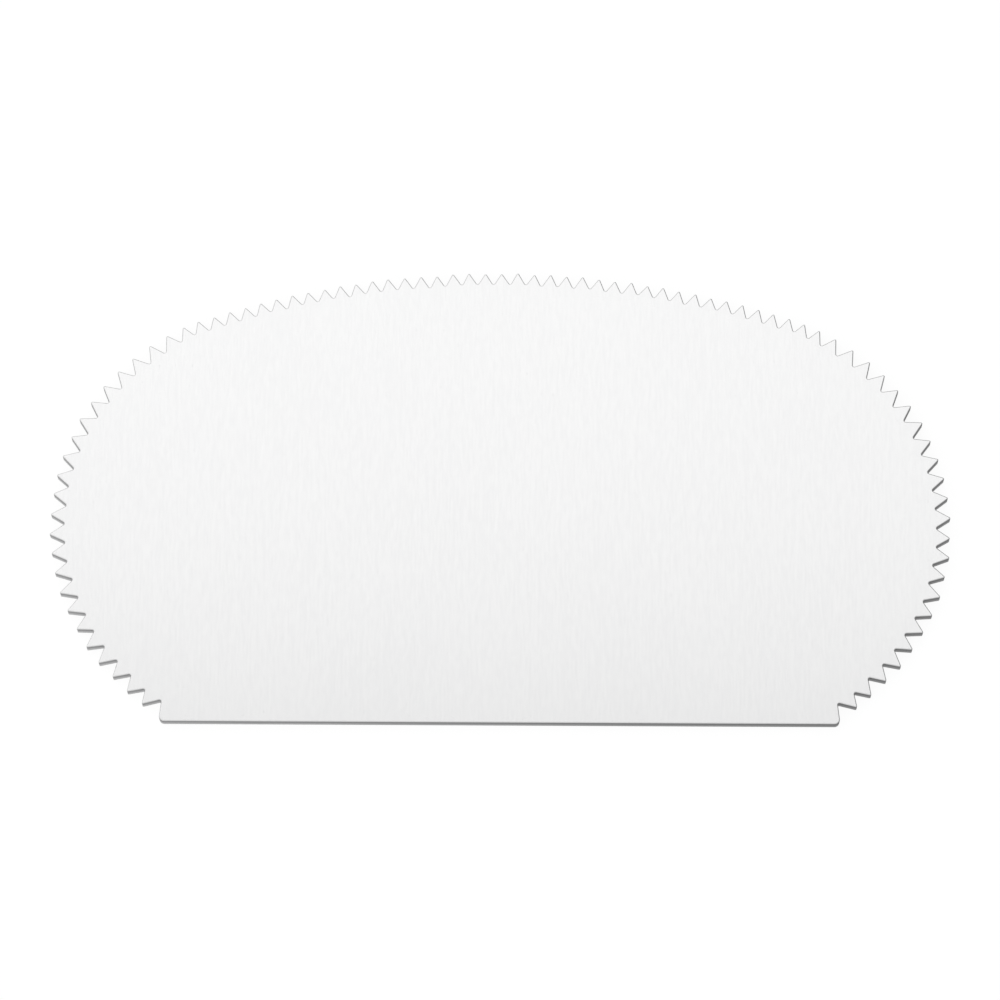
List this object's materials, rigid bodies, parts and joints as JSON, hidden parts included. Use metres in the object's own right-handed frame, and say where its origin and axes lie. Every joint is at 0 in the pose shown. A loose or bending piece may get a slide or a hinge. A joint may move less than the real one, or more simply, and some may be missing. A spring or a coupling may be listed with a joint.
{
  "type": "cake scraper",
  "caption": "Flat half-round cake scraper cut from sheet steel, with a plain straight edge and a curved edge of pointed teeth, fine over the crown and coarser round both sides.",
  "frame": {"origin": "middle of the footprint, on the back face that the plate lies on", "axes": "+X along the straight edge, +Y from the straight edge towards the toothed crown, +Z out of the front face"},
  "size_m": [0.15, 0.0784, 0.002],
  "materials": {
    "brushed_sheet": "fine straight brushing at right angles to the straight edge, satin, with a darker sheared edge"
  },
  "bodies": {
    "root": {"scraper_plate": "brushed_sheet"}
  },
  "joints": []
}
